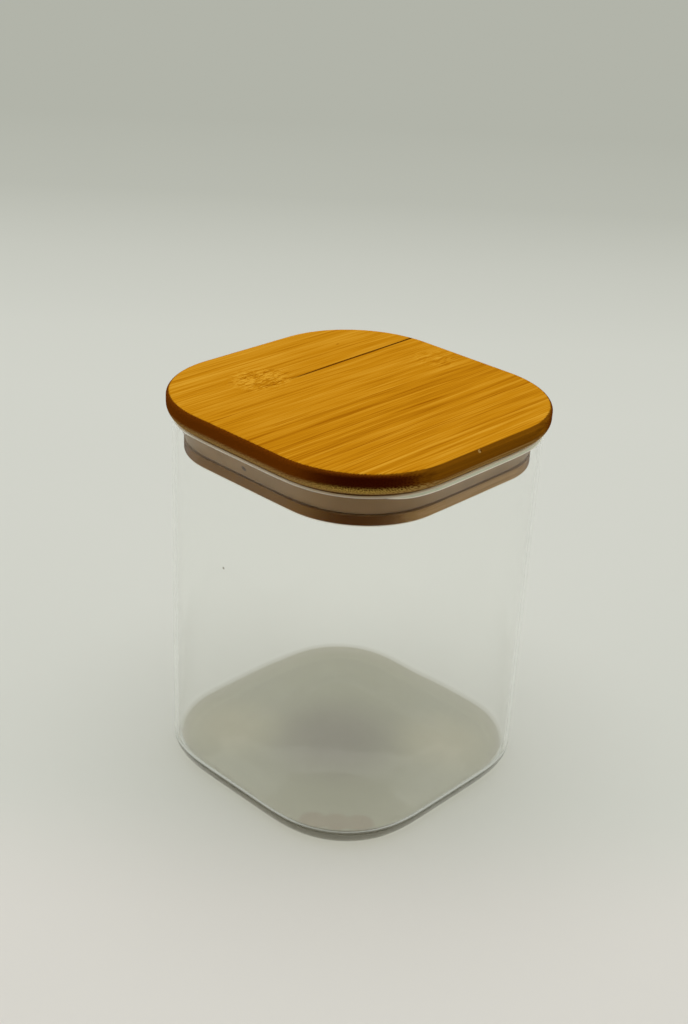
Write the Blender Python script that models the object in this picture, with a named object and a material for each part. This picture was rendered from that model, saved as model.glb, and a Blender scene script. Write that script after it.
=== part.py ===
"""Square glass storage jar with a push-fit bamboo lid and a silicone seal.

Metres, +Z up. The origin is on the surface that the jar stands on, under its centre.
Each piece is a section lofted round one rounded square, the plan of the jar. A section's
points are (inset, height): how far in from the outside of the wall, and how far up.
"""

import math
from itertools import pairwise

import bmesh
import bpy
from mathutils import Vector

MM = 0.001

# Glass body
JAR_WIDTH = 96.6 * MM
JAR_CORNER_RADIUS = 30.3 * MM
JAR_HEIGHT = 118.7 * MM
WALL = 1.2 * MM
BASE_THICKNESS = 4.5 * MM
HEEL_RADIUS = 7.0 * MM
INNER_HEEL_RADIUS = 3.0 * MM
STANDING_RING_WIDTH = 8.0 * MM
PUNT_SLOPE_WIDTH = 10.0 * MM
PUNT_HEIGHT = 0.6 * MM

# Top board of the lid
LID_OVERHANG = 1.7 * MM
BOARD_THICKNESS = 7.0 * MM
BOARD_TOP_ROUNDING = 1.5 * MM
BOARD_LOWER_ROUNDING = 3.6 * MM
RIM_GAP = 0.3 * MM

# Plug under the board, with the groove that holds the seal
PLUG_CLEARANCE = 2.5 * MM
FLANGE_THICKNESS = 3.5 * MM
FLANGE_ROUNDING = 0.8 * MM
GROOVE_HEIGHT = 7.5 * MM
GROOVE_DEPTH = 2.6 * MM
GLUE_GAP = 0.3 * MM

# Silicone seal in the groove: a band against the plug and a lip that flares to the glass
SEAL_FIT_GAP = 0.3 * MM
SEAL_GLASS_GAP = 0.3 * MM
SEAL_SETBACK = 0.2 * MM
SEAL_FOOT_ROUNDING = 0.5 * MM
SEAL_BAND_THICKNESS = 1.0 * MM
SEAL_LIP_THICKNESS = 0.8 * MM
SEAL_RELIEF_DEPTH = 2.6 * MM
SEAL_TOP_GAP = 0.5 * MM
SEAL_FLARE_POWER = 1.2

# How finely the round stretches are cut
CORNER_STEPS = 16
HEEL_STEPS = 7
ROUNDING_STEPS = 5
RIM_STEPS = 6
FLARE_STEPS = 6
SHARP_ANGLE = math.radians(35)

# Worked out from the sizes above; an inset is counted inwards from the outside of the wall
JAR_HALF = JAR_WIDTH / 2
PLUG_DEPTH = GROOVE_HEIGHT + FLANGE_THICKNESS
FLANGE_INSET = WALL + PLUG_CLEARANCE
CORE_INSET = FLANGE_INSET + GROOVE_DEPTH

GLASS_LOOK = {"color": (0.93, 0.96, 0.94), "roughness": 0.02, "transmission": 1.0, "ior": 1.47}
BOARD_LOOK = {"color": (0.63, 0.33, 0.08), "roughness": 0.32}
PLUG_LOOK = {"color": (0.42, 0.27, 0.13), "roughness": 0.5}
SEAL_LOOK = {"color": (0.70, 0.65, 0.62), "roughness": 0.45}


def clear_scene():
    for obj in list(bpy.data.objects):
        bpy.data.objects.remove(obj, do_unlink=True)


def make_material(name, color, roughness, transmission=0.0, ior=1.5):
    material = bpy.data.materials.new(name)
    material.use_nodes = True
    shader = material.node_tree.nodes["Principled BSDF"]
    shader.inputs["Base Color"].default_value = (*color, 1.0)
    shader.inputs["Roughness"].default_value = roughness
    shader.inputs["Metallic"].default_value = 0.0
    shader.inputs["Transmission Weight"].default_value = transmission
    shader.inputs["IOR"].default_value = ior
    return material


def arc(centre, radius, start, end, steps):
    """Points of a section, (inset, height), round a centre; angle 0 points outwards and 90 degrees up."""
    points = []
    for step in range(steps + 1):
        angle = math.radians(start + (end - start) * step / steps)
        points.append((centre[0] - radius * math.cos(angle), centre[1] + radius * math.sin(angle)))
    return points


def jar_plan(inset, height):
    """The jar's rounded square, drawn in from the outside of its wall by inset."""
    radius = max(JAR_CORNER_RADIUS - inset, 0.0)
    centre = JAR_HALF - inset - radius
    points = []
    for quarter, (side_x, side_y) in enumerate([(1, 1), (-1, 1), (-1, -1), (1, -1)]):
        for step in range(CORNER_STEPS + 1):
            angle = math.pi / 2 * (quarter + step / CORNER_STEPS)
            x = side_x * centre + radius * math.cos(angle)
            y = side_y * centre + radius * math.sin(angle)
            points.append(Vector((x, y, height)))
    return points


def add_ring(bm, inset, height):
    return [bm.verts.new(point) for point in jar_plan(inset, height)]


def join_rings(bm, lower, upper):
    sides = zip(pairwise([*lower, lower[0]]), pairwise([*upper, upper[0]]), strict=True)
    for (lower_start, lower_end), (upper_start, upper_end) in sides:
        bm.faces.new((lower_start, lower_end, upper_end, upper_start))


def loft(name, section, closed=False):
    """A solid whose wall follows the section round the plan. An open section's two ends are filled flat."""
    bm = bmesh.new()
    rings = [add_ring(bm, inset, height) for inset, height in section]
    for lower, upper in pairwise(rings):
        join_rings(bm, lower, upper)
    if closed:
        join_rings(bm, rings[-1], rings[0])
    else:
        bm.faces.new(rings[0])
        bm.faces.new(rings[-1])
    bmesh.ops.recalc_face_normals(bm, faces=bm.faces[:])
    mesh = bpy.data.meshes.new(name)
    bm.to_mesh(mesh)
    bm.free()
    mesh.shade_smooth()
    mesh.set_sharp_from_angle(angle=SHARP_ANGLE)
    return mesh


def add_part(name, section, material, closed=False, parent=None):
    mesh = loft(name, section, closed)
    mesh.materials.append(material)
    obj = bpy.data.objects.new(name, mesh)
    bpy.context.scene.collection.objects.link(obj)
    obj.parent = parent
    return obj


def jar_section():
    """From the middle of the underside, out round the heel, over the rim and down to the floor inside."""
    ring_edge = HEEL_RADIUS + STANDING_RING_WIDTH
    rim_radius = WALL / 2
    inner_heel = (WALL + INNER_HEEL_RADIUS, BASE_THICKNESS + INNER_HEEL_RADIUS)
    section = [(ring_edge + PUNT_SLOPE_WIDTH, PUNT_HEIGHT), (ring_edge, 0.0)]
    section += arc((HEEL_RADIUS, HEEL_RADIUS), HEEL_RADIUS, -90, 0, HEEL_STEPS)
    section += arc((rim_radius, JAR_HEIGHT - rim_radius), rim_radius, 0, 180, RIM_STEPS)
    section += arc(inner_heel, INNER_HEEL_RADIUS, 0, -90, HEEL_STEPS)
    return section


def board_section():
    """Heights are from the lid's own origin, level with the jar's rim."""
    underside = RIM_GAP
    top = underside + BOARD_THICKNESS
    side = -LID_OVERHANG
    lower = (side + BOARD_LOWER_ROUNDING, underside + BOARD_LOWER_ROUNDING)
    upper = (side + BOARD_TOP_ROUNDING, top - BOARD_TOP_ROUNDING)
    section = arc(lower, BOARD_LOWER_ROUNDING, -90, 0, ROUNDING_STEPS)
    section += arc(upper, BOARD_TOP_ROUNDING, 0, 90, ROUNDING_STEPS)
    return section


def plug_section():
    top = RIM_GAP - GLUE_GAP
    bottom = RIM_GAP - PLUG_DEPTH
    flange_top = bottom + FLANGE_THICKNESS
    edge = FLANGE_INSET + FLANGE_ROUNDING
    section = arc((edge, bottom + FLANGE_ROUNDING), FLANGE_ROUNDING, -90, 0, ROUNDING_STEPS)
    section += [(FLANGE_INSET, flange_top), (CORE_INSET, flange_top), (CORE_INSET, top)]
    return section


def seal_section():
    """Up the flare of the lip, over its edge, down and up the relief groove, and down the plug's side."""
    foot = RIM_GAP - GROOVE_HEIGHT + SEAL_FIT_GAP
    top = RIM_GAP - SEAL_TOP_GAP
    inner = CORE_INSET - SEAL_FIT_GAP
    band = inner - SEAL_BAND_THICKNESS
    setback = FLANGE_INSET + SEAL_SETBACK
    reach = WALL + SEAL_GLASS_GAP
    lip_radius = SEAL_LIP_THICKNESS / 2
    lip_base = foot + SEAL_FOOT_ROUNDING
    lip_edge = top - lip_radius
    relief_floor = top - SEAL_RELIEF_DEPTH

    def flare(height):
        share = (height - lip_base) / (lip_edge - lip_base)
        return setback + (reach - setback) * share**SEAL_FLARE_POWER

    section = [(inner, foot)]
    section += arc((setback + SEAL_FOOT_ROUNDING, lip_base), SEAL_FOOT_ROUNDING, -90, 0, ROUNDING_STEPS)
    for step in range(1, FLARE_STEPS):
        height = lip_base + (lip_edge - lip_base) * step / FLARE_STEPS
        section.append((flare(height), height))
    section += arc((reach + lip_radius, lip_edge), lip_radius, 0, 180, ROUNDING_STEPS)
    section.append((flare(relief_floor) + SEAL_LIP_THICKNESS, relief_floor))
    section += [(band, relief_floor), (band, top), (inner, top)]
    return section


def main():
    clear_scene()
    glass = make_material("clear_glass", **GLASS_LOOK)
    board = make_material("oiled_bamboo", **BOARD_LOOK)
    plug = make_material("bare_bamboo", **PLUG_LOOK)
    silicone = make_material("silicone", **SEAL_LOOK)

    add_part("glass_jar", jar_section(), glass)

    lid = bpy.data.objects.new("lid", None)
    lid.location = (0.0, 0.0, JAR_HEIGHT)
    bpy.context.scene.collection.objects.link(lid)
    add_part("lid_board", board_section(), board, parent=lid)
    add_part("lid_plug", plug_section(), plug, parent=lid)
    add_part("lid_seal", seal_section(), silicone, closed=True, parent=lid)


main()
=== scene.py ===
import math

import bmesh
import bpy
from bpy.props import FloatProperty, FloatVectorProperty, PointerProperty
from mathutils import Matrix, Vector


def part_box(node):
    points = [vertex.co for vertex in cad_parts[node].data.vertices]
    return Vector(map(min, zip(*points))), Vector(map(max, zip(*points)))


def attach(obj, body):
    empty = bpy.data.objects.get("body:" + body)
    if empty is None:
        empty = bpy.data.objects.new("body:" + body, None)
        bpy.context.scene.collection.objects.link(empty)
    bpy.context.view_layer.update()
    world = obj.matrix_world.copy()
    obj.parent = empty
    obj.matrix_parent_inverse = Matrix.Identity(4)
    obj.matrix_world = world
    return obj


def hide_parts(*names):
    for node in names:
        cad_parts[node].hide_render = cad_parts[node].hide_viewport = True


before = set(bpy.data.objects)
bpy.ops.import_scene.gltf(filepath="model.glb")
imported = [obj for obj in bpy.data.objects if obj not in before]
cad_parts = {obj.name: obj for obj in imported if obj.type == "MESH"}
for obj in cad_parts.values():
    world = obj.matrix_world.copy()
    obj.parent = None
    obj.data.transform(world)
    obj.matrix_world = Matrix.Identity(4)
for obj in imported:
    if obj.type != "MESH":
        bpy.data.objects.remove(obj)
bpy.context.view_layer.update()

bl_info = {
    "name": "Square Storage Jar",
    "version": (1, 0, 0),
    "blender": (4, 5, 0),
    "location": "3D View > Sidebar > Storage Jar",
    "description": "Builds a square glass storage jar with a bamboo lid and a silicone seal",
    "category": "Object",
}

MM = 0.001

# Boxes of the solid model's nodes, each its lowest and highest corner
JAR_LOW, JAR_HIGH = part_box("glass_jar")
BOARD_LOW, BOARD_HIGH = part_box("lid_board")
PLUG_LOW, PLUG_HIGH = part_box("lid_plug")
SEAL_LOW, SEAL_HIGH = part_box("lid_seal")

# How finely round stretches are cut
CORNER_POINTS = 40
OUTLINE_POINTS = 280
HEEL_STEPS = 20
RIM_STEPS = 14
EDGE_STEPS = 10
FLARE_STEPS = 16

# How often the corners of an eased outline are blurred into its sides
EASING_STEPS = 30

# How the seal's lip flares out: 1 is a straight slope, and more makes it bend
FLARE_POWER = 1.2

# Edges that turn by more than this stay sharp
SHARP_ANGLE = math.radians(32)

# The scene's seal is pressed to the glass, this far beyond the solid model's on each side
SEAL_PRESSED = 0.2 * MM

# How many bounces light makes in the glass before it leaks out
LEAK_DEPTH = 3.5

# How much of the far colour, a painted shade, the floor has: distance behind the jar in metres, and share
FLOOR_DARKENING = (
    (0.0, 0.0),
    (0.30, 0.0),
    (0.40, 0.07),
    (0.47, 0.21),
    (0.55, 0.36),
    (0.72, 0.77),
    (1.0, 0.95),
)

# Lengths from here on, down to the specks, are in millimetres, as in the materials' patterns

# Across the board: where strips of bamboo meet, and the tone of each strip, 0.5 being the plain one
STRIP_EDGES = (-22.0, 3.4, 26.8, 40.2)
STRIP_TONES = (0.60, 0.56, 0.40, 0.50, 0.47)

# Beside each glued edge: where its dark line starts to show, and where it is darkest
GLUE_LINE = (0.30, 0.06)

# Streaks that stand out along the grain: place across the board, half width, and tone added
STREAKS = (
    (-41.0, 0.35, -0.22),
    (-13.4, 0.30, -0.22),
    (-10.3, 0.30, -0.15),
    (-3.4, 0.40, -0.16),
    (5.8, 0.80, 0.14),
    (19.2, 0.30, 0.30),
    (24.2, 0.90, 0.26),
    (39.1, 0.30, 0.36),
    (42.5, 0.30, 0.34),
    (45.4, 0.30, 0.26),
)

# How far a streak fades out to each side, in its half widths
STREAK_SOFTNESS = 1.6

# Node marks on the board, where the culm had a joint: centre, half lengths and strength
KNOTS = (
    ((-27.0, -15.5), (9.5, 12.0), 0.8),
    ((-5.0, 40.0), (9.0, 9.0), 0.35),
)

# The open crack in the board's top: a point on its line, and how wide it is there
CRACK = (
    ((-22.9, 51.0), 0.46),
    ((-22.5, 34.0), 0.42),
    ((-22.2, 18.0), 0.36),
    ((-21.9, 7.0), 0.28),
    ((-21.3, -2.0), 0.22),
    ((-21.2, -9.0), 0.08),
)
CRACK_DEPTH = 1.5

# The wood beside the crack is darker this far to each side, partly darker wood and partly painted shade of
# the gap, and the darkening starts over this length
CRACK_STAIN_AND_SHADE = 0.75
CRACK_FADE = 9.0

# Short dark marks along the grain: place across the board, from, to, half width, and tone added
DASHES = (
    (-21.0, -19.0, -13.5, 0.35, -0.80),
    (1.8, -39.0, -21.0, 0.30, -0.45),
    (-34.0, 24.3, 25.7, 0.40, -0.60),
)

# A chip in the rounded upper edge, on the right, with the pale wood that it lays bare
CHIP_PLACE = (49.65, -4.3, 125.55)
CHIP_HALF = (0.30, 0.85, 0.26)
CHIP_ROUGHNESS = 0.10
CHIP_PALE_RADIUS = 0.65
CHIP_COLOUR = (0.50, 0.31, 0.10)

# The thick base gets a painted shadow of the lid in its middle and painted warm light to each side
BASE_CENTRE = (0.5, -3.5, 4.5)
BASE_SHADE_RADIUS = 32.0
BASE_SHADE = (0.585, 0.548, 0.525)
BASE_LOBES = (
    (26.0, 22.5, 4.5),
    (-27.0, -24.0, 4.5),
)
BASE_LOBE_RADIUS = 23.0
BASE_PAINTED_LIGHT = (0.79, 0.74, 0.64)

# How far above the floor inside its colour reaches
FLOOR_REACH = 0.5

# A pinkish patch on the floor inside, near the front corner
PATCH_PLACES = (
    (26.8, -39.7, 4.5),
    (32.0, -35.0, 4.5),
    (37.2, -30.3, 4.5),
)
PATCH_RADIUS = 5.2
PATCH_COLOUR = (0.60, 0.515, 0.46)

# The shaded foot of the heel. Its edge is a height that rises a little towards the front corner.
# Each pair is where a change starts and where it is complete. Start, rise and deepening are told
# by x minus y, which grows towards the front corner, and turning by y alone.
FOOT_EDGE = (7.0, 6.2)
FOOT_RISE = 0.5
FOOT_START = (-30.0, 5.0)
FOOT_RISING = (10.0, 62.0)
FOOT_DEEPENING = (0.0, 45.0)
FOOT_TURNING = (-35.0, 0.0)
# Only faces that look away from the jar's axis have it: in full once they lie this far out that way
FOOT_OUTWARD = 6.0

# Heights where the heel starts to hold back a lamp's light, and where it does so in full
HEEL_SHADE = (8.0, 3.0)

# Two small specks: one in the glass, one on the seal
GLASS_SPECK = (-5.8, -48.3, 81.7)
GLASS_SPECK_RADIUS = 0.55
GLASS_SPECK_COLOUR = (0.25, 0.22, 0.18)
SEAL_SPECK = (-0.2, -45.6, 114.9)
SEAL_SPECK_RADIUS = 1.25
SEAL_SPECK_COLOUR = (0.10, 0.06, 0.04)


def number_setting(name, description, default, **options):
    """A number that a user may change."""
    return FloatProperty(name=name, description=description, default=default, **options)


def length_setting(name, description, default):
    """A size in metres."""
    return number_setting(name, description, default, min=0.0, precision=5, unit="LENGTH")


def angle_setting(name, description, degrees):
    return number_setting(name, description, math.radians(degrees), subtype="ANGLE")


def colour_setting(name, description, default):
    return FloatVectorProperty(
        name=name, description=description, default=default, min=0.0, max=1.0, subtype="COLOR"
    )


class JarGlassSettings(bpy.types.PropertyGroup):
    """Sizes and looks of the glass body."""

    width: length_setting("Width", "Outside width of the jar", JAR_HIGH.x - JAR_LOW.x)
    height: length_setting("Height", "Height of the rim above the table", JAR_HIGH.z)
    corner_radius: length_setting("Corner Radius", "Outside radius of the four corners", 30.3 * MM)
    eased: length_setting("Eased", "Taken off the corner radius, as easing blunts the corners", 1.1 * MM)
    wall: length_setting("Wall", "Thickness of the wall", 1.2 * MM)
    base: length_setting("Base", "Height of the floor inside", 4.5 * MM)
    heel_radius: length_setting("Heel Radius", "Rounding from the wall to the underside", 7.0 * MM)
    inner_heel: length_setting("Inner Heel", "Rounding between wall and floor inside", 3.0 * MM)
    ring_width: length_setting("Standing Ring", "Width of the flat ring it stands on", 8.0 * MM)
    punt_slope: length_setting("Punt Slope", "Width of the slope up to the punt", 10.0 * MM)
    punt_height: length_setting("Punt Height", "How far the underside is pushed up", 0.6 * MM)
    tint: colour_setting("Tint", "Colour of the glass, as it tints one surface", (0.996, 0.997, 0.992))
    # Painted highlight: the pale line along the rim stands in for light piped up the glass
    rim_glow_colour: colour_setting("Rim Tint", "Colour of the bright line along the rim", (1.0, 0.94, 0.78))
    # Painted glow: the green band under the rim on the side that faces +X
    band_glow_colour: colour_setting("Band Tint", "Green gathered under the rim on one side", (0.72, 0.75, 0.57))
    # Partly the thick base's own tint, mostly painted shade of the floor under the jar
    base_tint_and_shade: colour_setting("Base Tint", "Colour gathered in the thick base", (0.69, 0.668, 0.60))
    lamp_tint: colour_setting("Lamp Tint", "What one surface lets through from a lamp", (0.97, 0.975, 0.965))
    lamp_base: colour_setting("Lamp Base Tint", "What the base lets through from a lamp", (0.72, 0.72, 0.68))
    lamp_heel: colour_setting("Lamp Heel Tint", "What the heel lets through from a lamp", (0.95, 0.95, 0.93))
    lamp_foot: colour_setting("Lamp Foot Tint", "What the foot lets through from a lamp", (0.92, 0.91, 0.88))
    foot_tint: colour_setting("Foot Tint", "Shade where the heel meets the table", (0.10, 0.085, 0.062))
    # How far down the painted rim highlight and the painted green glow reach
    rim_glow_depth: length_setting("Rim Depth", "How far down the bright line reaches", 0.5 * MM)
    band_glow_depth: length_setting("Band Depth", "How far down the green band reaches", 1.4 * MM)
    ior: number_setting("IOR", "How strongly the glass bends light", 1.45, min=1.0)


class BambooBoardSettings(bpy.types.PropertyGroup):
    """Sizes and looks of the lid's top board."""

    width: length_setting("Width", "Width of the board", BOARD_HIGH.x - BOARD_LOW.x)
    underside: length_setting("Underside", "Height of the board's underside", BOARD_LOW.z)
    top: length_setting("Top", "Height of the board's top", BOARD_HIGH.z)
    top_rounding: length_setting("Top Rounding", "Radius of the upper edge", 1.5 * MM)
    lower_rounding: length_setting("Lower Rounding", "Radius of the lower edge", 3.6 * MM)
    plain: colour_setting("Plain Tone", "The oiled bamboo's middle colour", (0.572, 0.236, 0.006))
    pale: colour_setting("Pale Tone", "Colour of the pale streaks", (0.72, 0.360, 0.030))
    dark: colour_setting("Dark Tone", "Colour of the dark streaks", (0.34, 0.105, 0.001))
    end_grain: colour_setting("End Grain", "Colour that soaks into the end grain", (0.165, 0.040, 0.002))
    side_grain: colour_setting("Side Grain", "Colour of the two long sides", (0.36, 0.135, 0.005))
    # Painted light from the floor on the rounded lower edge
    lower_edge_light: colour_setting("Lower Edge", "Colour of the rounded lower edge", (0.38, 0.225, 0.070))
    # Painted light on the lower edge at the front corner
    lower_corner_light: colour_setting("Lower Corner", "Lower edge at the front corner", (0.48, 0.31, 0.06))
    pore: colour_setting("Pore", "Colour of the dots in the end grain", (0.060, 0.014, 0.001))
    # Partly darker wood, partly painted shade of the crack
    crack: colour_setting("Crack", "Colour of the wood along the crack", (0.13, 0.030, 0.002))
    # Painted shade for the front corner
    corner_shade: colour_setting("Soaked", "Corner that took up the most oil", (0.034, 0.002, 0.0005))


class BambooPlugSettings(bpy.types.PropertyGroup):
    """Sizes and looks of the block under the board."""

    width: length_setting("Width", "Width of the flange", PLUG_HIGH.x - PLUG_LOW.x)
    bottom: length_setting("Bottom", "Height of the underside", PLUG_LOW.z)
    top: length_setting("Top", "Height of the glued top", PLUG_HIGH.z)
    flange: length_setting("Flange", "Thickness of the flange", 3.5 * MM)
    flange_rounding: length_setting("Flange Rounding", "Rounding of its lower edge", 0.8 * MM)
    groove_depth: length_setting("Groove Depth", "How deep the seal's groove is", 2.6 * MM)
    plain: colour_setting("Plain Tone", "The bare bamboo's middle colour", (0.40, 0.230, 0.080))
    pale: colour_setting("Pale Tone", "Colour of the pale streaks", (0.50, 0.31, 0.135))
    dark: colour_setting("Dark Tone", "Colour of the dark streaks", (0.24, 0.115, 0.030))
    end_grain: colour_setting("End Grain", "Colour of the end grain", (0.27, 0.135, 0.035))
    pore: colour_setting("Pore", "Colour of the dots in the end grain", (0.08, 0.030, 0.004))
    # Painted shade for the corners
    corner_shade: colour_setting("Soaked", "Colour of the corners, cut aslant to the grain", (0.080, 0.020, 0.001))
    # Painted highlight along the flange's lower edge
    lower_edge_light: colour_setting("Lower Edge", "Pale sanded lower edge", (0.98, 0.93, 0.82))


class SiliconeSealSettings(bpy.types.PropertyGroup):
    """Sizes and looks of the seal in the groove."""

    width: length_setting(
        "Width", "Width over the lip, pressed to the glass", SEAL_HIGH.x - SEAL_LOW.x + 2.0 * SEAL_PRESSED
    )
    foot: length_setting("Foot", "Height of the seal's foot", SEAL_LOW.z)
    top: length_setting("Top", "Height of the lip", SEAL_HIGH.z)
    setback: length_setting("Setback", "How far the foot stands in from the flange", 0.2 * MM)
    fit_gap: length_setting("Fit Gap", "Gap between the band and the plug", 0.3 * MM)
    foot_rounding: length_setting("Foot Rounding", "Rounding of the foot's edge", 0.5 * MM)
    band: length_setting("Band", "Thickness of the band against the plug", 1.0 * MM)
    lip: length_setting("Lip", "Thickness of the flared lip", 0.8 * MM)
    relief: length_setting("Relief", "Depth of the hollow behind the lip", 2.6 * MM)
    colour: colour_setting("Colour", "Pinkish grey of the silicone", (0.315, 0.196, 0.092))
    # Painted shade at the corners
    corner_shade_colour: colour_setting("Corner Colour", "Darker tone at the corners", (0.16, 0.082, 0.032))


class StudioSettings(bpy.types.PropertyGroup):
    """Floor, light and camera."""

    floor_size: length_setting("Floor Size", "Width of the floor", 8.0)
    floor_drop: length_setting("Floor Drop", "How far the floor lies under the jar", 0.25 * MM)
    floor_colour: colour_setting("Floor Colour", "Colour round the jar", (0.655, 0.665, 0.610))
    # Painted light in front of the jar
    near_painted_light: colour_setting("Near Colour", "Colour in front of the jar", (0.714, 0.697, 0.650))
    # Painted shade far behind the jar
    far_painted_shade: colour_setting("Far Colour", "Colour far behind the jar", (0.440, 0.452, 0.398))
    mottle: colour_setting("Mottle", "Faint clouds on the floor", (0.50, 0.51, 0.47))
    backdrop: colour_setting("Backdrop", "What is seen past the floor", (0.50, 0.51, 0.46))
    light: colour_setting("Light", "Colour of the light from all round", (1.0, 1.0, 0.98))
    lamp_strength: number_setting("Lamp Strength", "Strength of the overhead lamp", 0.95, min=0.0)
    dark_side: number_setting("Dark Side", "Light that comes from the camera's side", 0.05, min=0.0)
    pale_side: number_setting("Pale Side", "Light that comes from everywhere else", 0.85, min=0.0)
    lamp_spread: angle_setting("Lamp Spread", "Angle that the soft lamp fills", 60)
    lamp_tilt: angle_setting("Lamp Tilt", "How far the lamp leans over from behind", 4)
    camera_azimuth: angle_setting("Camera Azimuth", "Direction of the camera round the jar", 42.57)
    camera_elevation: angle_setting("Camera Elevation", "Camera's angle above its pivot", 29.45)
    camera_roll: angle_setting("Camera Roll", "How far the camera is held off level", 2.94)
    camera_distance: length_setting("Camera Distance", "From the pivot to the camera", 459.7 * MM)
    camera_pivot: length_setting("Camera Pivot", "Height of the point it turns about", 60.0 * MM)
    camera_aim: length_setting("Camera Aim", "Height that the camera points at", 86.3 * MM)
    camera_aside: number_setting(
        "Camera Aside", "How far it points right of the jar", -2.95 * MM, unit="LENGTH"
    )
    lens: number_setting(
        "Lens", "Focal length on a 36 mm long side", 50.85, subtype="DISTANCE_CAMERA"
    )


class StorageJarSettings(bpy.types.PropertyGroup):
    """All settings of the jar, kept on the scene."""

    glass: PointerProperty(type=JarGlassSettings)
    board: PointerProperty(type=BambooBoardSettings)
    plug: PointerProperty(type=BambooPlugSettings)
    seal: PointerProperty(type=SiliconeSealSettings)
    studio: PointerProperty(type=StudioSettings)


class Signal:
    """A value that flows through a node tree. Sums and products of signals add Math nodes."""

    def __init__(self, graph, socket):
        self.graph = graph
        self.socket = socket

    def __add__(self, other):
        return self.graph.math("ADD", self, other)

    def __sub__(self, other):
        return self.graph.math("SUBTRACT", self, other)

    def __rsub__(self, other):
        return self.graph.math("SUBTRACT", other, self)

    def __mul__(self, other):
        return self.graph.math("MULTIPLY", self, other)

    def __truediv__(self, other):
        return self.graph.math("DIVIDE", self, other)

    def __neg__(self):
        return self.graph.math("MULTIPLY", self, -1.0)

    def __abs__(self):
        return self.graph.math("ABSOLUTE", self)

    __radd__ = __add__
    __rmul__ = __mul__

    def fade(self, start, end):
        """0 where the signal is start, 1 where it is end, smooth between them and held beyond."""
        inputs = {"Value": self, "From Min": start, "From Max": end}
        return self.graph.output("Result", "ShaderNodeMapRange", inputs, interpolation_type="SMOOTHSTEP")

    def between(self, low, high):
        """Low where the signal is 0, high where it is 1, and held beyond."""
        inputs = {"Value": self, "To Min": low, "To Max": high}
        return self.graph.output("Result", "ShaderNodeMapRange", inputs)


class Graph:
    """Adds nodes to one tree. An input is a plain value, a signal or another node's output."""

    def __init__(self, tree):
        self.tree = tree

    def feed(self, socket, value):
        if isinstance(value, Signal):
            value = value.socket
        if isinstance(value, bpy.types.NodeSocket):
            self.tree.links.new(value, socket)
        else:
            socket.default_value = value

    def node(self, kind, inputs=None, **settings):
        made = self.tree.nodes.new(kind)
        for name, value in settings.items():
            setattr(made, name, value)
        for key, value in (inputs or {}).items():
            self.feed(made.inputs[key], value)
        return made

    def output(self, name, kind, inputs=None, **settings):
        """The named output of a new node."""
        return Signal(self, self.node(kind, inputs, **settings).outputs[name])

    def through(self, shape, kind, inputs=None, **settings):
        """The shape that comes out of a new node."""
        made = self.node(kind, inputs, **settings)
        self.feed(made.inputs[0], shape)
        return Signal(self, made.outputs[0])

    def math(self, operation, *values):
        return self.output("Value", "ShaderNodeMath", dict(enumerate(values)), operation=operation)

    def greater(self, first, second):
        return self.math("MAXIMUM", first, second)

    def vector_math(self, operation, output, *values):
        return self.output(output, "ShaderNodeVectorMath", dict(enumerate(values)), operation=operation)

    def scaled(self, vector, factors):
        return self.vector_math("MULTIPLY", "Vector", vector, factors)

    def dot(self, vector, direction):
        return self.vector_math("DOT_PRODUCT", "Value", vector, direction)

    def parts(self, vector):
        made = self.node("ShaderNodeSeparateXYZ", {"Vector": vector})
        return tuple(Signal(self, socket) for socket in made.outputs)

    def joined(self, x, y, z):
        return self.output("Vector", "ShaderNodeCombineXYZ", {"X": x, "Y": y, "Z": z})

    def noise(self, vector, scale=1.0, detail=2.0, roughness=0.5):
        inputs = {"Vector": vector, "Scale": scale, "Detail": detail, "Roughness": roughness}
        return self.output("Fac", "ShaderNodeTexNoise", inputs, noise_dimensions="3D")

    def blend(self, share, first, second):
        """The first colour where the share is 0, the second where it is 1."""
        made = self.node("ShaderNodeMix", {0: share}, data_type="RGBA")
        for place, colour in ((6, first), (7, second)):
            self.feed(made.inputs[place], colour if isinstance(colour, Signal) else (*colour, 1.0))
        return Signal(self, made.outputs[2])

    def mixed_shader(self, share, first, second):
        made = self.node("ShaderNodeMixShader")
        self.feed(made.inputs[0], share)
        self.feed(made.inputs[1], first.outputs[0])
        self.feed(made.inputs[2], second.outputs[0])
        return made

    def ramp(self, share, stops, interpolation="LINEAR"):
        """A colour ramp through stops, each a place from 0 to 1 and a colour or a grey."""
        made = self.node("ShaderNodeValToRGB", {"Fac": share})
        made.color_ramp.interpolation = interpolation
        elements = made.color_ramp.elements
        while len(elements) < len(stops):
            elements.new(1.0)
        for element, (place, tone) in zip(elements, stops, strict=True):
            element.position = place
            element.color = (tone, tone, tone, 1.0) if isinstance(tone, float) else (*tone, 1.0)
        return Signal(self, made.outputs["Color"])


def new_material(name):
    """A material with an empty tree, and the graph that fills it."""
    material = bpy.data.materials.new(name)
    material.use_nodes = True
    material.node_tree.nodes.clear()
    return material, Graph(material.node_tree)


def show_surface(graph, shader, output="ShaderNodeOutputMaterial"):
    graph.feed(graph.node(output).inputs["Surface"], shader.outputs[0])


def object_millimetres(graph):
    """The object's own coordinates in millimetres."""
    place = graph.output("Object", "ShaderNodeTexCoord")
    return graph.scaled(place, (1.0 / MM, 1.0 / MM, 1.0 / MM))


def object_normal(graph):
    return graph.output("Normal", "ShaderNodeTexCoord")


def relief(graph, height, strength=1.0):
    """A bump from a height in millimetres."""
    inputs = {"Height": height, "Strength": strength, "Distance": MM}
    return graph.output("Normal", "ShaderNodeBump", inputs)


def spot(graph, place, centre, radius, softness=0.5):
    """1 inside a ball, fading to 0 at its edge."""
    away = graph.vector_math("DISTANCE", "Value", place, centre)
    return away.fade(radius, radius * (1.0 - softness))


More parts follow.
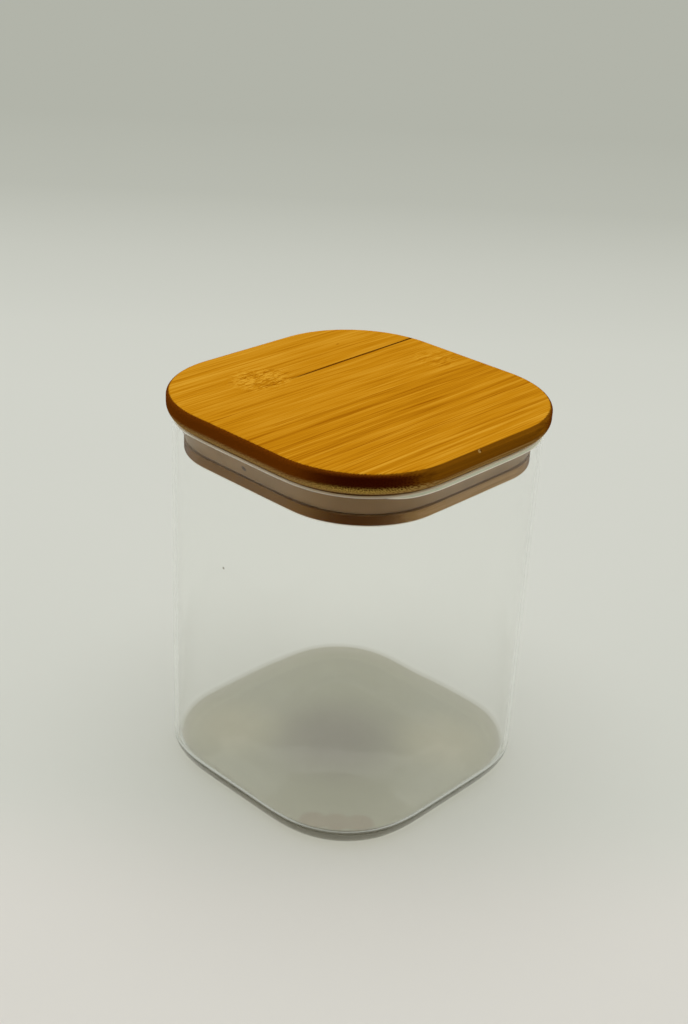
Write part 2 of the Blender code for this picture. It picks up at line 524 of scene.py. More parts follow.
def painted_rim_glow(graph, look, height, facing_side):
    """The painted highlight along the rim, which stands in for light piped up the glass, and its colour: it
    reaches lower, as a painted green glow, on the side that faces +X.
    """
    depth = look.rim_glow_depth / MM
    # The side that faces +X, where the painted glow reaches lower and turns green; the glass is no thicker
    # there
    thick = facing_side.fade(0.80, 0.98)
    line_top = look.height / MM + thick * (depth - look.band_glow_depth / MM)
    below = line_top - height
    band = thick * below.fade(0.35 * depth, 0.0)
    return below.fade(depth, 0.7 * depth), graph.blend(band, look.rim_glow_colour, look.band_glow_colour)


def base_colour_and_shade(graph, look, place):
    """The thick base: a painted shadow of the lid in its middle, painted warm light to both sides, with the
    pinkish patch near the front.
    """
    # Painted shadow of the lid in the middle
    middle = spot(graph, place, BASE_CENTRE, BASE_SHADE_RADIUS, softness=0.9)
    colour = graph.blend(middle, look.base_tint_and_shade, BASE_SHADE)
    for centre in BASE_LOBES:
        # Painted warm light to each side
        lobe = spot(graph, place, centre, BASE_LOBE_RADIUS, softness=0.9)
        colour = graph.blend(lobe, colour, BASE_PAINTED_LIGHT)
    for centre in PATCH_PLACES:
        patch = spot(graph, place, centre, PATCH_RADIUS, softness=0.35)
        colour = graph.blend(patch, colour, PATCH_COLOUR)
    return colour


def foot_shares(graph, place, normal, upright):
    """Where the heel's shaded foot is, and how much of its tint it has there, both from 0 to 1."""
    side, front, height = graph.parts(place)
    facing_side, facing_front, _ = graph.parts(normal)
    outward = (facing_side * side + facing_front * front).fade(0.0, FOOT_OUTWARD)
    forward = side - front
    raised = height - FOOT_RISE * forward.fade(*FOOT_RISING)
    foot = raised.fade(*FOOT_EDGE) * outward * upright
    foot = foot * forward.fade(*FOOT_START)
    depth = forward.fade(*FOOT_DEEPENING).between(0.72, 1.0)
    depth = depth * front.fade(*FOOT_TURNING).between(1.0, 0.95)
    return foot, foot * depth


def glass_material(look):
    """Clear glass that lets lamps through, with a faint waviness, a few marks, a painted highlight along the
    rim and painted shade in the base.
    """
    material, graph = new_material("clear_glass")
    place = object_millimetres(graph)
    normal = object_normal(graph)
    _, _, height = graph.parts(place)
    facing_side, _, facing_up = graph.parts(normal)
    upright = abs(facing_up).fade(0.99, 0.95)

    # The painted rim highlight and its colour
    line, glow_colour = painted_rim_glow(graph, look, height, facing_side)
    floor = look.base / MM
    inner_floor = height.fade(floor + FLOOR_REACH, floor + FLOOR_REACH / 2)
    inner_floor = inner_floor * facing_up.fade(0.2, 0.6)
    foot, foot_depth = foot_shares(graph, place, normal, upright)
    speck = spot(graph, place, GLASS_SPECK, GLASS_SPECK_RADIUS)
    colour = graph.blend(line, look.tint, glow_colour)
    # The floor inside takes the base's tint with its painted shade and painted light
    colour = graph.blend(inner_floor, colour, base_colour_and_shade(graph, look, place))
    colour = graph.blend(foot_depth, colour, look.foot_tint)
    colour = graph.blend(speck, colour, GLASS_SPECK_COLOUR)

    smears = graph.noise(graph.scaled(place, (0.05, 0.05, 0.03)), detail=4.0, roughness=0.6)
    waves = 0.008 * (graph.noise(graph.scaled(place, (0.07, 0.07, 0.012)), detail=1.0) - 0.5)
    glass = graph.node(
        "ShaderNodeBsdfPrincipled",
        {
            "Base Color": colour,
            "Roughness": smears.fade(0.50, 0.75).between(0.0, 0.012),
            "IOR": look.ior,
            # Where the rim highlight is painted, the glass lets little light through
            "Transmission Weight": line.between(1.0, 0.10),
            "Specular Tint": (0.08, 0.08, 0.08, 1.0),
            "Normal": relief(graph, waves),
        },
    )
    heel = height.fade(*HEEL_SHADE) * upright
    passed = graph.blend(heel, look.lamp_tint, look.lamp_heel)
    passed = graph.blend(foot, passed, look.lamp_foot)
    passed = graph.blend(inner_floor, passed, look.lamp_base)
    open_to_lamps = graph.node("ShaderNodeBsdfTransparent", {"Color": passed})
    path = graph.node("ShaderNodeLightPath").outputs
    lamp_ray = graph.greater(path["Is Shadow Ray"], path["Is Diffuse Ray"])
    # Light that has been trapped in the wall for long leaks out
    leaking = graph.math("GREATER_THAN", path["Ray Depth"], LEAK_DEPTH)
    show_surface(graph, graph.mixed_shader(graph.greater(lamp_ray, leaking), glass, open_to_lamps))
    return material


def knot_share(graph, x, y):
    """How much the grain is disturbed by node marks, from 0 to 1."""
    total = 0.0
    for (centre_x, centre_y), (half_x, half_y), strength in KNOTS:
        across = (x - centre_x) / half_x
        along = (y - centre_y) / half_y
        away = graph.math("SQRT", across * across + along * along)
        total = graph.greater(total, strength * away.fade(1.15, 0.45))
    return total


def share_across(x, half_width):
    """x as a share of the board's width from its left edge."""
    return 0.5 + x * (0.5 / half_width)


def strip_tone(graph, x, half_width):
    """Tone of the strip at x, which changes at once where two strips are glued."""
    edges = [0.0] + [share_across(edge, half_width) for edge in STRIP_EDGES]
    return graph.ramp(share_across(x, half_width), list(zip(edges, STRIP_TONES, strict=True)), "CONSTANT")


def streak_tone(graph, x, half_width):
    """0.5 where the board is plain, more or less along the streaks that stand out."""
    stops = []
    for place, half, tone in STREAKS:
        middle = share_across(place, half_width)
        spread = STREAK_SOFTNESS * 0.5 * half / half_width
        stops += [(middle - spread, 0.5), (middle, 0.5 + tone), (middle + spread, 0.5)]
    return graph.ramp(share_across(x, half_width), stops)


def dash_tone(graph, x, y):
    """Tone added by the short dark marks."""
    total = 0.0
    for place, start, end, half, tone in DASHES:
        along = abs(y - 0.5 * (start + end))
        reach = 0.5 * (end - start)
        total += tone * abs(x - place).fade(half, 0.0) * along.fade(reach, 0.6 * reach)
    return total


def crack_share(graph, x, y):
    """How dark the wood is along the crack, from 0 to 1: partly darker wood, partly painted shade of the
    gap.
    """
    (back_x, back_y), _ = CRACK[0]
    (front_x, front_y), _ = CRACK[-1]
    lean = (back_x - front_x) / (back_y - front_y)
    line = front_x + lean * (y - front_y)
    started = y.fade(front_y, front_y + CRACK_FADE)
    return started * abs(x - line).fade(CRACK_STAIN_AND_SHADE, 0.0)


def glue_lines(graph, x, y):
    """Thin lines where strips meet, strong in places and lost in others."""
    total = 0.0
    for edge in STRIP_EDGES:
        total = graph.greater(total, abs(x - edge).fade(*GLUE_LINE))
    patches = graph.noise(graph.joined(x, 0.09 * y, 0.0), scale=0.4)
    return total * patches.fade(0.42, 0.62)


def drawn_out(graph, place, fineness, stretch, **options):
    """Noise along the grain: fineness counts waves per millimetre across it, and stretch along it."""
    return graph.noise(graph.scaled(place, (fineness, stretch, fineness)), **options)


def bamboo_grain(graph, place, knots):
    """The layers of the solid grain, which runs along Y and swirls round the knots."""
    x, y, z = graph.parts(place)
    drift = 3.2 * (drawn_out(graph, place, 0.035, 0.010, detail=1.0) - 0.5)
    ripple = 0.32 * (drawn_out(graph, place, 0.45, 0.022, detail=1.0) - 0.5)
    swirl = 3.0 * (drawn_out(graph, place, 0.40, 0.22) - 0.5)
    across = x + drift + ripple + swirl * knots
    upwards = z + ripple
    fibre = graph.joined(across, y, upwards)
    scratches = drawn_out(graph, fibre, 1.6, 0.020, detail=1.0)
    strokes = drawn_out(graph, fibre, 1.9, 0.36, roughness=0.55)
    cells = graph.output(
        "Distance",
        "ShaderNodeTexVoronoi",
        {"Vector": graph.joined(across, upwards, 0.0), "Scale": 2.1, "Randomness": 0.7},
        voronoi_dimensions="2D",
    )
    return {
        "bands": drawn_out(graph, fibre, 0.30, 0.007),
        "streaks": drawn_out(graph, fibre, 1.1, 0.008, roughness=0.60),
        "hairs": drawn_out(graph, fibre, 2.2, 0.045, detail=1.0),
        "pale_lines": scratches.fade(0.58, 0.70),
        "dark_lines": scratches.fade(0.38, 0.27),
        "bundles": cells.fade(0.46, 0.16),
        "strokes": strokes.fade(0.42, 0.60),
    }


def swing(grain, **weights):
    """How far layers of the grain, each times its weight, lie from their middle tone."""
    return sum(weight * (grain[layer] - 0.5) for layer, weight in weights.items())


def board_edges(graph, look, grain, top_colour):
    """The top's colour with the board's edges round it, by the way that the surface faces, with painted
    shade on the front corner and painted light on the lower edge.
    """
    facing_x, facing_y, facing_z = graph.parts(object_normal(graph))
    uneven = 0.08 * (grain["bundles"] - 0.3)
    across = (abs(facing_y) + uneven).fade(0.22, 0.44)
    beside = (abs(facing_x) + uneven).fade(0.24, 0.46)
    # The lower rounding, which gets painted light
    below = (facing_z + 2.4 * uneven).fade(-0.05, -0.48)
    # Painted shade on the front corner, and painted light on its lower edge
    corner = (-facing_x * facing_y).fade(0.12, 0.50) * facing_x.fade(0.0, 0.2)

    dots = 0.65 * grain["bundles"]
    end = graph.blend(dots, look.end_grain, look.pore)
    side = graph.blend(grain["streaks"], look.side_grain, look.pore)
    # The lower edge with painted light, stronger at the front corner
    low = graph.blend(dots, look.lower_edge_light, look.pore)
    low = graph.blend(corner, low, graph.blend(dots, look.lower_corner_light, look.pore))
    colour = graph.blend(across, graph.blend(beside, top_colour, side), end)
    # Painted shade on the front corner's sides
    colour = graph.blend(0.9 * corner * graph.greater(beside, across), colour, look.corner_shade)
    return graph.blend(below, colour, low)


def wood_surface(graph, grain, colour, roughness, raised=0.0):
    """Matt wood, in low relief: the streaks and what is raised stand up, and the bundles lie deep."""
    height = 0.05 * grain["streaks"] - 0.03 * grain["bundles"] + raised
    shader = graph.node(
        "ShaderNodeBsdfPrincipled",
        {
            "Base Color": colour,
            "Roughness": roughness,
            "Specular IOR Level": 0.0,
            "Normal": relief(graph, height, 0.6),
        },
    )
    show_surface(graph, shader)


def board_material(look):
    """Oiled bamboo: warm streaks on top, dotted end grain at front and back, darker edges."""
    material, graph = new_material("oiled_bamboo")
    place = object_millimetres(graph)
    x, y, _ = graph.parts(place)
    knots = knot_share(graph, x, y)
    grain = bamboo_grain(graph, place, knots)
    half = look.width / MM / 2

    tone = strip_tone(graph, x, half) + (streak_tone(graph, x, half) - 0.5)
    tone += swing(grain, bands=0.50, streaks=0.62, hairs=0.90)
    tone += 0.85 * (grain["strokes"] - 0.40) * knots
    tone += 0.16 * grain["pale_lines"] - 0.21 * grain["dark_lines"] - 0.04 * grain["bundles"]
    tone += dash_tone(graph, x, y) - 0.35 * glue_lines(graph, x, y)
    colour = graph.ramp(tone, [(0.0, look.dark), (0.5, look.plain), (1.0, look.pale)])
    # Darker wood and painted shade along the crack
    colour = graph.blend(crack_share(graph, x, y), colour, look.crack)
    colour = board_edges(graph, look, grain, colour)
    colour = graph.blend(spot(graph, place, CHIP_PLACE, CHIP_PALE_RADIUS), colour, CHIP_COLOUR)

    roughness = grain["streaks"].between(0.42, 0.60)
    wood_surface(graph, grain, colour, roughness, 0.08 * grain["strokes"] * knots)
    return material


def plug_material(look):
    """Bare bamboo, duller than the board, with dots on its end grain, painted shade on its corners and a
    painted highlight along its lower edge.
    """
    material, graph = new_material("bare_bamboo")
    grain = bamboo_grain(graph, object_millimetres(graph), 0.0)
    tone = 0.5 + swing(grain, bands=0.8, streaks=1.0, hairs=0.5) - 0.12 * grain["bundles"]
    colour = graph.ramp(tone, [(0.0, look.dark), (0.5, look.plain), (1.0, look.pale)])
    facing_x, facing_y, facing_z = graph.parts(object_normal(graph))
    end = graph.blend(0.7 * grain["bundles"], look.end_grain, look.pore)
    # Painted shade on the corners
    corner_shade = 0.8 * abs(facing_x * facing_y).fade(0.15, 0.50)
    colour = graph.blend(abs(facing_y).fade(0.35, 0.80), colour, end)
    colour = graph.blend(corner_shade, colour, look.corner_shade)
    # Painted highlight along the lower edge
    colour = graph.blend(facing_z.fade(-0.18, -0.42), colour, look.lower_edge_light)
    wood_surface(graph, grain, colour, grain["streaks"].between(0.55, 0.72))
    return material


def silicone_material(look):
    """Soft pinkish grey silicone with a little mottling, one speck and painted shade at its corners."""
    material, graph = new_material("pinkish_silicone")
    place = object_millimetres(graph)
    darker = tuple(0.86 * part for part in look.colour)
    clouds = graph.noise(place, scale=0.11, detail=3.0)
    facing_x, facing_y, _ = graph.parts(object_normal(graph))
    # Painted shade at the corners
    corner = 0.35 * abs(facing_x * facing_y).fade(0.15, 0.50)
    colour = graph.blend(clouds.fade(0.35, 0.70), look.colour, darker)
    colour = graph.blend(corner, colour, look.corner_shade_colour)
    colour = graph.blend(spot(graph, place, SEAL_SPECK, SEAL_SPECK_RADIUS), colour, SEAL_SPECK_COLOUR)
    fine = graph.noise(place, scale=2.6, detail=3.0)
    shader = graph.node(
        "ShaderNodeBsdfPrincipled",
        {
            "Base Color": colour,
            "Roughness": fine.between(0.46, 0.60),
            "Specular IOR Level": 0.18,
            "Subsurface Weight": 0.25,
            "Subsurface Radius": (1.0, 0.7, 0.5),
            "Subsurface Scale": 1.2 * MM,
            "Normal": relief(graph, 0.02 * fine, 0.5),
        },
    )
    show_surface(graph, shader)
    return material


def sweep_tree():
    """A Geometry Nodes tree that carries a section round a square with rounded corners.

    The section is a flat curve: its X goes outwards from the outline and its Y downwards.
    """
    name = "Rounded Square Sweep"
    if name in bpy.data.node_groups:
        return bpy.data.node_groups[name]
    tree = bpy.data.node_groups.new(name, "GeometryNodeTree")
    sockets = (
        ("Section", "NodeSocketGeometry"),
        ("Width", "NodeSocketFloat"),
        ("Corner Radius", "NodeSocketFloat"),
        ("Corner Points", "NodeSocketInt"),
        ("Outline Points", "NodeSocketInt"),
        ("Easing Steps", "NodeSocketInt"),
        ("Material", "NodeSocketMaterial"),
    )
    for label, kind in sockets:
        tree.interface.new_socket(label, in_out="INPUT", socket_type=kind)
    tree.interface.new_socket("Mesh", in_out="OUTPUT", socket_type="NodeSocketGeometry")
    graph = Graph(tree)
    given = graph.node("NodeGroupInput").outputs
    sides = {"Width": given["Width"], "Height": given["Width"]}
    outline = graph.output("Curve", "GeometryNodeCurvePrimitiveQuadrilateral", sides)
    corners = {"Count": given["Corner Points"], "Radius": given["Corner Radius"]}
    outline = graph.through(outline, "GeometryNodeFilletCurve", corners, mode="POLY")
    points = {"Count": given["Outline Points"]}
    outline = graph.through(outline, "GeometryNodeResampleCurve", points, mode="COUNT")
    # The corners ease into the sides, as they do in blown glass
    place = graph.output("Position", "GeometryNodeInputPosition")
    easing = {"Value": place, "Iterations": given["Easing Steps"]}
    eased = graph.output("Value", "GeometryNodeBlurAttribute", easing, data_type="FLOAT_VECTOR")
    outline = graph.through(outline, "GeometryNodeSetPosition", {"Position": eased})
    outline = graph.through(outline, "GeometryNodeSetCurveNormal", mode="Z_UP")
    surface = graph.through(outline, "GeometryNodeCurveToMesh", {"Profile Curve": given["Section"]})
    surface = graph.through(surface, "GeometryNodeSetShadeSmooth")
    surface = graph.through(surface, "GeometryNodeRealizeInstances")
    surface = graph.through(surface, "GeometryNodeSetMaterial", {"Material": given["Material"]})
    graph.node("NodeGroupOutput", {"Mesh": surface})
    return tree


def add_object(name, data):
    obj = bpy.data.objects.new(name, data)
    bpy.context.scene.collection.objects.link(obj)
    return obj


def section_curve(name, section, closed):
    """A curve object through the section's points, each (inset, height)."""
    curve = bpy.data.curves.new(name, "CURVE")
    curve.dimensions = "3D"
    spline = curve.splines.new("POLY")
    spline.points.add(len(section) - 1)
    for point, (inset, height) in zip(spline.points, section, strict=True):
        point.co = (-inset, -height, 0.0, 1.0)
    spline.use_cyclic_u = closed
    return add_object(name, curve)


def plain_mesh(obj, name):
    """The evaluated object as a plain mesh of that name."""
    graph = bpy.context.evaluated_depsgraph_get()
    mesh = bpy.data.meshes.new_from_object(obj.evaluated_get(graph), depsgraph=graph)
    mesh.name = name
    return mesh


def sweep(name, section, width, corner_radius, material, closed=False, easing=0):
    """A closed piece: the section carried round the rounded square, its open ends filled flat."""
    guide = section_curve(name + "_section", section, closed)
    tree = sweep_tree()
    modifier = guide.modifiers.new("Sweep", "NODES")
    modifier.node_group = tree
    values = {
        "Width": width,
        "Corner Radius": corner_radius,
        "Corner Points": CORNER_POINTS,
        "Outline Points": OUTLINE_POINTS,
        "Easing Steps": easing,
        "Material": material,
    }
    for item in tree.interface.items_tree:
        if item.in_out == "INPUT" and item.name in values:
            modifier[item.identifier] = values[item.name]
    mesh = plain_mesh(guide, name)
    curve = guide.data
    bpy.data.objects.remove(guide)
    bpy.data.curves.remove(curve)

    bm = bmesh.new()
    bm.from_mesh(mesh)
    bmesh.ops.holes_fill(bm, edges=[edge for edge in bm.edges if edge.is_boundary], sides=0)
    bmesh.ops.recalc_face_normals(bm, faces=bm.faces[:])
    bm.to_mesh(mesh)
    bm.free()
    return add_object(name, mesh)


def settle_normals(obj):
    """Smooth shading that keeps flat faces flat, written into the mesh."""
    obj.data.shade_smooth()
    obj.data.set_sharp_from_angle(angle=SHARP_ANGLE)
    modifier = obj.modifiers.new("Flat Faces First", "WEIGHTED_NORMAL")
    modifier.keep_sharp = True
    swap_mesh(obj)


def swap_mesh(obj):
    """Applies the object's modifiers."""
    old = obj.data
    name = old.name
    mesh = plain_mesh(obj, name)
    obj.modifiers.clear()
    obj.data = mesh
    bpy.data.meshes.remove(old)
    mesh.name = name


def cut(obj, cutter):
    """Takes the cutter's shape out of the object, and removes the cutter."""
    modifier = obj.modifiers.new("Cut", "BOOLEAN")
    modifier.operation = "DIFFERENCE"
    modifier.solver = "EXACT"
    modifier.object = cutter
    swap_mesh(obj)
    mesh = cutter.data
    bpy.data.objects.remove(cutter)
    bpy.data.meshes.remove(mesh)


def arc(centre, radius, start, end, steps):
    """Points of a section, (inset, height), round a centre; angle 0 points outwards and 90 degrees up."""
    points = []
    for step in range(steps + 1):
        angle = math.radians(start + (end - start) * step / steps)
        points.append((centre[0] - radius * math.cos(angle), centre[1] + radius * math.sin(angle)))
    return points


def corner_radius_at(glass, width):
    """The corner radius of an outline of this width that runs parallel to the jar's outside."""
    return glass.corner_radius - (glass.width - width) / 2


def glass_section(look):
    """From the middle of the underside, out round the heel, over the rim and down to the floor inside."""
    ring_edge = look.heel_radius + look.ring_width
    rim_radius = look.wall / 2
    inner_heel = (look.wall + look.inner_heel, look.base + look.inner_heel)
    section = []
    for step in range(HEEL_STEPS + 1):
        share = 1.0 - step / HEEL_STEPS
        rise = 0.5 - 0.5 * math.cos(math.pi * share)
        section.append((ring_edge + look.punt_slope * share, look.punt_height * rise))
    section += arc((look.heel_radius, look.heel_radius), look.heel_radius, -90, 0, HEEL_STEPS)
    section += arc((rim_radius, look.height - rim_radius), rim_radius, 0, 180, RIM_STEPS)
    section += arc(inner_heel, look.inner_heel, 0, -90, HEEL_STEPS)
    return section


def board_section(look):
    lower = (look.lower_rounding, look.underside + look.lower_rounding)
    upper = (look.top_rounding, look.top - look.top_rounding)
    section = arc(lower, look.lower_rounding, -90, 0, EDGE_STEPS)
    section += arc(upper, look.top_rounding, 0, 90, EDGE_STEPS)
    return section


def plug_section(look):
    edge = (look.flange_rounding, look.bottom + look.flange_rounding)
    flange_top = look.bottom + look.flange
    section = arc(edge, look.flange_rounding, -90, 0, EDGE_STEPS)
    section += [(0.0, flange_top), (look.groove_depth, flange_top), (look.groove_depth, look.top)]
    return section


def seal_section(look, plug):
    """Insets are from the tip of the lip. Up the flare, over the lip, and down the side of the plug."""
    flange = (look.width - plug.width) / 2
    setback = flange + look.setback
    inner = flange + plug.groove_depth - look.fit_gap
    band = inner - look.band
    lip_radius = look.lip / 2
    lip_base = look.foot + look.foot_rounding
    lip_edge = look.top - lip_radius
    relief_floor = look.top - look.relief

    def flare(height):
        share = (height - lip_base) / (lip_edge - lip_base)
        return setback * (1.0 - share**FLARE_POWER)

    section = [(inner, look.foot)]
    section += arc((setback + look.foot_rounding, lip_base), look.foot_rounding, -90, 0, EDGE_STEPS)
    for step in range(1, FLARE_STEPS):
        height = lip_base + (lip_edge - lip_base) * step / FLARE_STEPS
        section.append((flare(height), height))
    section += arc((lip_radius, lip_edge), lip_radius, 0, 180, EDGE_STEPS)
    section.append((flare(relief_floor) + look.lip, relief_floor))
    section += [(band, relief_floor), (band, look.top), (inner, look.top)]
    return section


def crack_cutter(top):
    """A long wedge along the crack, open above the board."""
    bm = bmesh.new()
    rings = []
    for (x, y), width in CRACK:
        # The sides of the wedge go on for 1 mm above the board
        widen = width / 2 * (1.0 + 1.0 / CRACK_DEPTH)
        ring = [(x - widen, 1.0), (x, -CRACK_DEPTH), (x + widen, 1.0)]
        rings.append([bm.verts.new((across * MM, y * MM, top + rise * MM)) for across, rise in ring])
    for near, far in zip(rings, rings[1:]):
        for side in range(3):
            other = (side + 1) % 3
            bm.faces.new((near[side], near[other], far[other], far[side]))
    bm.faces.new(rings[0])
    bm.faces.new(rings[-1])
    bmesh.ops.recalc_face_normals(bm, faces=bm.faces[:])
    return object_from(bm, "crack_cutter")


def chip_cutter():
    """A small rough pebble that takes the chip out of the upper edge."""
    bm = bmesh.new()
    bmesh.ops.create_icosphere(bm, subdivisions=2, radius=1.0)
    centre = Vector(part * MM for part in CHIP_PLACE)
    for index, vert in enumerate(bm.verts):
        uneven = 1.0 + CHIP_ROUGHNESS * math.sin(7.0 * index)
        vert.co = centre + Vector(part * half * MM * uneven for part, half in zip(vert.co, CHIP_HALF))
    return object_from(bm, "chip_cutter")


def object_from(bm, name):
    mesh = bpy.data.meshes.new(name)
    bm.to_mesh(mesh)
    bm.free()
    return add_object(name, mesh)


def build_glass(settings):
    look = settings.glass
    radius = look.corner_radius - look.eased
    material = glass_material(look)
    jar = sweep("jar_glass", glass_section(look), look.width, radius, material, easing=EASING_STEPS)
    settle_normals(jar)
    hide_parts("glass_jar")
    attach(jar, "jar")


def build_board(settings):
    look = settings.board
    radius = corner_radius_at(settings.glass, look.width)
    board = sweep("bamboo_board", board_section(look), look.width, radius, board_material(look))
    cut(board, crack_cutter(look.top))
    cut(board, chip_cutter())
    settle_normals(board)
    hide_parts("lid_board")
    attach(board, "lid")


def build_plug(settings):
    look = settings.plug
    radius = corner_radius_at(settings.glass, look.width)
    plug = sweep("bamboo_plug", plug_section(look), look.width, radius, plug_material(look))
    settle_normals(plug)
    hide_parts("lid_plug")
    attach(plug, "lid")


def build_seal(settings):
    look = settings.seal
    # The lip lies along the glass, so its corners are eased as the glass is
    radius = corner_radius_at(settings.glass, look.width) - settings.glass.eased
    section = seal_section(look, settings.plug)
    material = silicone_material(look)
    seal = sweep("silicone_seal", section, look.width, radius, material, closed=True, easing=EASING_STEPS)
    settle_normals(seal)
    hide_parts("lid_seal")
    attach(seal, "lid")


def towards_camera(studio):
    """Level direction from the jar to the camera."""
    return Vector((math.sin(studio.camera_azimuth), -math.cos(studio.camera_azimuth), 0.0))


def floor_material(studio):
    """Pale matt paper, with painted light just in front of the jar and painted shade far behind it."""
    material, graph = new_material("pale_floor")
    place = graph.output("Object", "ShaderNodeTexCoord")
    behind = graph.dot(place, -towards_camera(studio))
    # Painted light in front of the jar
    near = behind.fade(-0.02, -0.09)
    colour = graph.blend(near, studio.floor_colour, studio.near_painted_light)
    distance = behind.between(0.0, 1.0)
    # Painted shade far behind the jar
    colour = graph.blend(graph.ramp(distance, FLOOR_DARKENING), colour, studio.far_painted_shade)
    colour = graph.blend(0.05 * graph.noise(place, scale=7.0, detail=3.0), colour, studio.mottle)
    shader = graph.node(
        "ShaderNodeBsdfPrincipled",
        {"Base Color": colour, "Roughness": 0.9, "Specular IOR Level": 0.0},
    )
    show_surface(graph, shader)
    return material


def build_floor(studio):
    bm = bmesh.new()
    half = studio.floor_size / 2
    corners = [(-half, -half), (half, -half), (half, half), (-half, half)]
    bm.faces.new([bm.verts.new((x, y, -studio.floor_drop)) for x, y in corners])
    floor = object_from(bm, "floor")
    floor.data.materials.append(floor_material(studio))


def build_world(studio):
    """Dim light that falls off towards the camera's side; glass and the camera see a pale backdrop."""
    world = bpy.data.worlds.new("soft_studio")
    bpy.context.scene.world = world
    world.use_nodes = True
    world.node_tree.nodes.clear()
    graph = Graph(world.node_tree)
    direction = graph.output("Generated", "ShaderNodeTexCoord")
    rear = graph.dot(direction, towards_camera(studio)).fade(0.75, 0.20)

    def shining(colour, strength):
        return graph.node("ShaderNodeBackground", {"Color": (*colour, 1.0), "Strength": strength})

    lighting = shining(studio.light, rear.between(studio.dark_side, studio.pale_side))
    seen = shining(studio.backdrop, 1.0)
    mirrored = shining(studio.backdrop, rear.between(0.50, 1.0))
    path = graph.node("ShaderNodeLightPath").outputs
    direct = graph.math("LESS_THAN", path["Diffuse Depth"], 0.5)
    straight = graph.greater(path["Is Camera Ray"], path["Is Transmission Ray"])
    background = graph.mixed_shader(straight * direct, lighting, seen)
    background = graph.mixed_shader(direct * path["Is Glossy Ray"], background, mirrored)
    show_surface(graph, background, "ShaderNodeOutputWorld")


def build_lamp(studio):
    data = bpy.data.lights.new("overhead_softbox", "SUN")
    data.energy = studio.lamp_strength
    data.angle = studio.lamp_spread
    lamp = add_object("overhead_softbox", data)
    level = -towards_camera(studio)
    source = level * math.sin(studio.lamp_tilt) + Vector((0.0, 0.0, math.cos(studio.lamp_tilt)))
    lamp.rotation_euler = source.to_track_quat("Z", "Y").to_euler()


def build_camera(studio):
    """The photograph's viewpoint, for an image of 688 by 1024."""
    data = bpy.data.cameras.new("camera")
    data.lens = studio.lens
    data.clip_start = 10.0 * MM
    camera = add_object("camera", data)
    level = towards_camera(studio)
    rise = Vector((0.0, 0.0, 1.0))
    back = level * math.cos(studio.camera_elevation) + rise * math.sin(studio.camera_elevation)
    pivot = rise * studio.camera_pivot
    sideways = Vector((-level.y, level.x, 0.0))
    aim = rise * studio.camera_aim + sideways * studio.camera_aside
    place = pivot + back * studio.camera_distance
    turn = (place - aim).to_track_quat("Z", "Y").to_matrix().to_4x4()
    roll = Matrix.Rotation(studio.camera_roll, 4, "Z")
    camera.matrix_world = Matrix.Translation(place) @ turn @ roll
    bpy.context.scene.camera = camera


def build_studio(settings):
    studio = settings.studio
    build_camera(studio)
    build_floor(studio)
    build_world(studio)
    build_lamp(studio)
    bpy.context.scene.view_settings.view_transform = "Standard"


class STORAGEJAR_OT_build_glass(bpy.types.Operator):
    """Builds the clear glass body"""

    bl_idname = "storage_jar.build_glass"
    bl_label = "Build Glass Body"

    def execute(self, context):
        build_glass(context.scene.storage_jar)
        return {"FINISHED"}


class STORAGEJAR_OT_build_board(bpy.types.Operator):
    """Builds the bamboo board on top of the lid"""

    bl_idname = "storage_jar.build_board"
    bl_label = "Build Lid Board"

    def execute(self, context):
        build_board(context.scene.storage_jar)
        return {"FINISHED"}


class STORAGEJAR_OT_build_plug(bpy.types.Operator):
    """Builds the bamboo plug under the board"""

    bl_idname = "storage_jar.build_plug"
    bl_label = "Build Lid Plug"

    def execute(self, context):
        build_plug(context.scene.storage_jar)
        return {"FINISHED"}


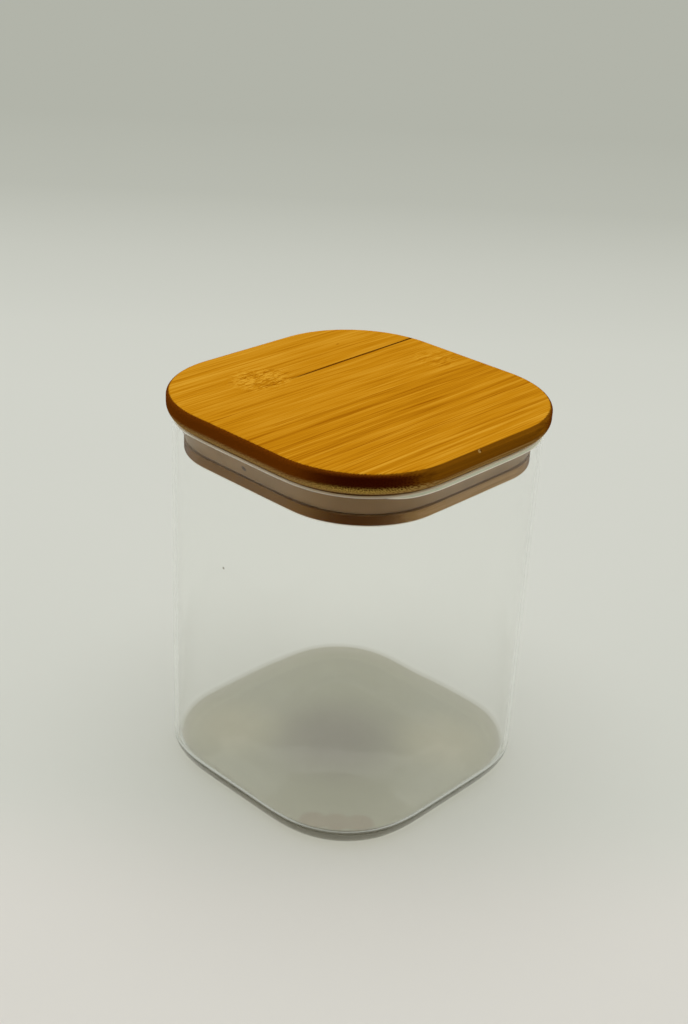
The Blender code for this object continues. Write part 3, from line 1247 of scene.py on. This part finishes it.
class STORAGEJAR_OT_build_seal(bpy.types.Operator):
    """Builds the silicone seal round the plug"""

    bl_idname = "storage_jar.build_seal"
    bl_label = "Build Seal"

    def execute(self, context):
        build_seal(context.scene.storage_jar)
        return {"FINISHED"}


class STORAGEJAR_OT_build_studio(bpy.types.Operator):
    """Builds the floor, the soft light and the camera"""

    bl_idname = "storage_jar.build_studio"
    bl_label = "Build Studio"

    def execute(self, context):
        build_studio(context.scene.storage_jar)
        return {"FINISHED"}


class STORAGEJAR_PT_panel(bpy.types.Panel):
    """Lists the jar's pieces with their settings"""

    bl_label = "Storage Jar"
    bl_idname = "STORAGEJAR_PT_panel"
    bl_space_type = "VIEW_3D"
    bl_region_type = "UI"
    bl_category = "Storage Jar"

    def draw(self, context):
        settings = context.scene.storage_jar
        rows = (
            (STORAGEJAR_OT_build_glass, settings.glass),
            (STORAGEJAR_OT_build_board, settings.board),
            (STORAGEJAR_OT_build_plug, settings.plug),
            (STORAGEJAR_OT_build_seal, settings.seal),
            (STORAGEJAR_OT_build_studio, settings.studio),
        )
        for operator, group in rows:
            box = self.layout.box()
            box.operator(operator.bl_idname)
            for name in group.__annotations__:
                box.prop(group, name)


CLASSES = (
    JarGlassSettings,
    BambooBoardSettings,
    BambooPlugSettings,
    SiliconeSealSettings,
    StudioSettings,
    StorageJarSettings,
    STORAGEJAR_OT_build_glass,
    STORAGEJAR_OT_build_board,
    STORAGEJAR_OT_build_plug,
    STORAGEJAR_OT_build_seal,
    STORAGEJAR_OT_build_studio,
    STORAGEJAR_PT_panel,
)


def register():
    for cls in CLASSES:
        bpy.utils.register_class(cls)
    bpy.types.Scene.storage_jar = PointerProperty(type=StorageJarSettings)


def unregister():
    del bpy.types.Scene.storage_jar
    for cls in reversed(CLASSES):
        bpy.utils.unregister_class(cls)


def main():
    register()
    bpy.ops.storage_jar.build_studio()
    bpy.ops.storage_jar.build_glass()
    bpy.ops.storage_jar.build_board()
    bpy.ops.storage_jar.build_plug()
    bpy.ops.storage_jar.build_seal()


if __name__ == "__main__":
    main()
